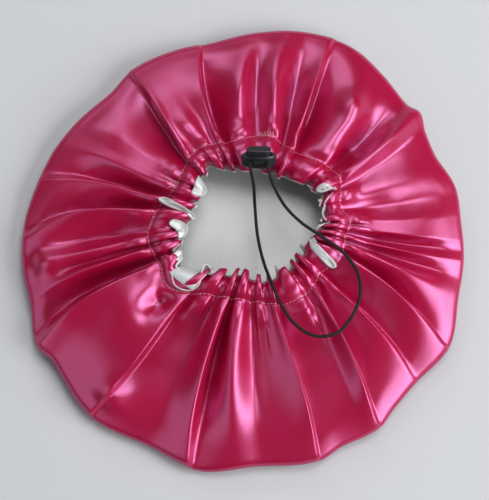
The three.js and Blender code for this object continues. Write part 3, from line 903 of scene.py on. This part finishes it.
def black_plastic():
    """Moulded plastic with a fine spark-eroded grain, a little shinier where it is handled."""
    shader = Shader("black_plastic_moulded")
    shader.set(Base_Color=(0.006, 0.0065, 0.008, 1))
    place = shader.node("ShaderNodeTexCoord").outputs["Object"]
    grain = shader.node("ShaderNodeTexNoise", Vector=place, Scale=1500.0, Detail=3.0)
    handled = shader.node("ShaderNodeTexNoise", Vector=place, Scale=90.0, Detail=2.0)
    gloss = shader.node("ShaderNodeMapRange", Value=handled.outputs["Fac"])
    gloss.inputs["To Min"].default_value = 0.30
    gloss.inputs["To Max"].default_value = 0.46
    shader.link(gloss.outputs["Result"], "Roughness")
    bump = shader.node("ShaderNodeBump", Strength=0.25, Distance=0.0001,
                       Height=grain.outputs["Fac"])
    shader.link(bump.outputs["Normal"], "Normal")
    return shader.material


def thread():
    """Twisted polyester sewing thread, pale pink."""
    shader = Shader("pale_pink_thread")
    shader.set(Base_Color=(0.72, 0.30, 0.40, 1), Roughness=0.5)
    place = shader.node("ShaderNodeTexCoord").outputs["Object"]
    twist = shader.node("ShaderNodeTexNoise", Vector=place, Scale=3000.0, Detail=1.0)
    bump = shader.node("ShaderNodeBump", Strength=0.4, Distance=0.0001,
                       Height=twist.outputs["Fac"])
    shader.link(bump.outputs["Normal"], "Normal")
    return shader.material


def plain(name, colour, roughness):
    """One even colour."""
    shader = Shader(name)
    shader.set(Base_Color=(*colour, 1), Roughness=roughness)
    return shader.material


# ------------------------------------------------------------------ stage, camera and lights
def aim(thing, target):
    """Turn a camera or lamp to face a point."""
    direction = Vector(target) - thing.location
    thing.rotation_euler = direction.to_track_quat("-Z", "Y").to_euler()


def add_camera():
    """Nearly straight above, 10 degrees to the front."""
    elevation, distance = math.radians(80), 2.0
    frame_height = 0.4075
    target = Vector((0.0014, -0.0021, 0.008))
    camera = bpy.data.objects.new("camera", bpy.data.cameras.new("camera"))
    bpy.context.scene.collection.objects.link(camera)
    camera.location = target + Vector((0, -math.cos(elevation), math.sin(elevation))) * distance
    camera.data.sensor_width = 36
    camera.data.lens = 18 / (frame_height / 2 / distance)
    camera.data.clip_start = 0.01
    aim(camera, target)
    bpy.context.scene.camera = camera
    bpy.context.scene.view_settings.view_transform = "Standard"


def add_area_light(name, place, size, power):
    """A soft rectangular lamp that faces the bonnet."""
    light = bpy.data.lights.new(name, "AREA")
    light.shape = "RECTANGLE"
    light.size, light.size_y = size
    light.energy = power
    light.color = DAYLIGHT
    lamp = bpy.data.objects.new(name, light)
    lamp.location = place
    bpy.context.scene.collection.objects.link(lamp)
    aim(lamp, (0, 0, 0.02))


def add_stage():
    """The pale floor, a dim sky and the four lamps."""
    mesh = bpy.data.meshes.new("floor")
    side = 3
    mesh.from_pydata([(-side, -side, 0), (side, -side, 0), (side, side, 0), (-side, side, 0)],
                     [], [(0, 1, 2, 3)])
    floor = bpy.data.objects.new("floor", mesh)
    floor.location.z = -0.0003
    bpy.context.scene.collection.objects.link(floor)
    mesh.materials.append(plain("pale_floor", (0.48, 0.49, 0.505), 0.8))
    world = bpy.data.worlds.new("world")
    world.use_nodes = True
    world.node_tree.nodes["Background"].inputs["Color"].default_value = (0.9, 0.92, 1, 1)
    world.node_tree.nodes["Background"].inputs["Strength"].default_value = 0.09
    bpy.context.scene.world = world
    for name, place, size, power in LAMPS:
        add_area_light(name, place, size, power)


# ------------------------------------------------------------------ the assembly
def put_on(piece, material, body, slot, *nodes):
    """Give a piece its material and body, and hide the CAD nodes that it shows; slot is not used.
    """
    piece.data.materials.clear()
    piece.data.materials.append(material)
    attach(piece, body)
    if nodes:
        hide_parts(*nodes)


add_camera()
add_stage()

loop = loop_path(LOOP_STEP)
add_cord("loop_cord", loop, braided_tube(loop, CORD_DIAMETER / 2, LOOP_STEP),
         "drawcord_loop")
ring = ring_path()
add_cord("ring_cord", ring, braided_tube(ring, CORD_DIAMETER / 2, RING_STEP),
         "drawcord_ring")

cloth = Cloth()
outer_grid = smooth_grid(cloth.grid, SMOOTHING_PASSES, CASING_RINGS + TOP_RINGS) + SHIFT

rose = satin("rose_satin", (0.33, 0.001, 0.026), (0.40, 0.002, 0.042), (0.92, 0.49, 1), 0.27, 0.12)
silver = satin("silver_satin", (0.42, 0.425, 0.425), (0.48, 0.485, 0.485), (1, 1, 1), 0.4, 0.0)
sewing = thread()
plastic = black_plastic()

shell = grid_mesh("rose_cloth", outer_grid)
put_on(shell, rose, "bonnet", "rose_satin", "outer_shell")
inside = grid_mesh("silver_cloth", lining_grid(outer_grid))
put_on(inside, silver, "bonnet", "silver_satin", "lining")
edges = edge_loops(outer_grid)
put_on(edges, silver, "bonnet", "silver_satin")
hollows = lining_hollows(outer_grid)
put_on(hollows, silver, "bonnet", "silver_satin")
pocket = lining_pocket(outer_grid)
put_on(pocket, silver, "bonnet", "silver_satin")
sewn = joined_mesh("casing_stitches", casing_stitches(outer_grid))
put_on(sewn, sewing, "bonnet", "rose_satin")
tack = joined_mesh("bar_tack", bar_tack(outer_grid) + loose_threads(outer_grid))
put_on(tack, sewing, "bonnet", "rose_satin")

body = lock_body()
cut_cord_holes(body, 0)
put_on(body, plastic, "bonnet", "black_plastic", "cord_lock_body")
plunger = lock_plunger()
cut_cord_holes(plunger, BUTTON_TRAVEL)
put_on(plunger, plastic, "button", "black_plastic", "cord_lock_button")
put_on(lock_ribs(), plastic, "bonnet", "black_plastic")
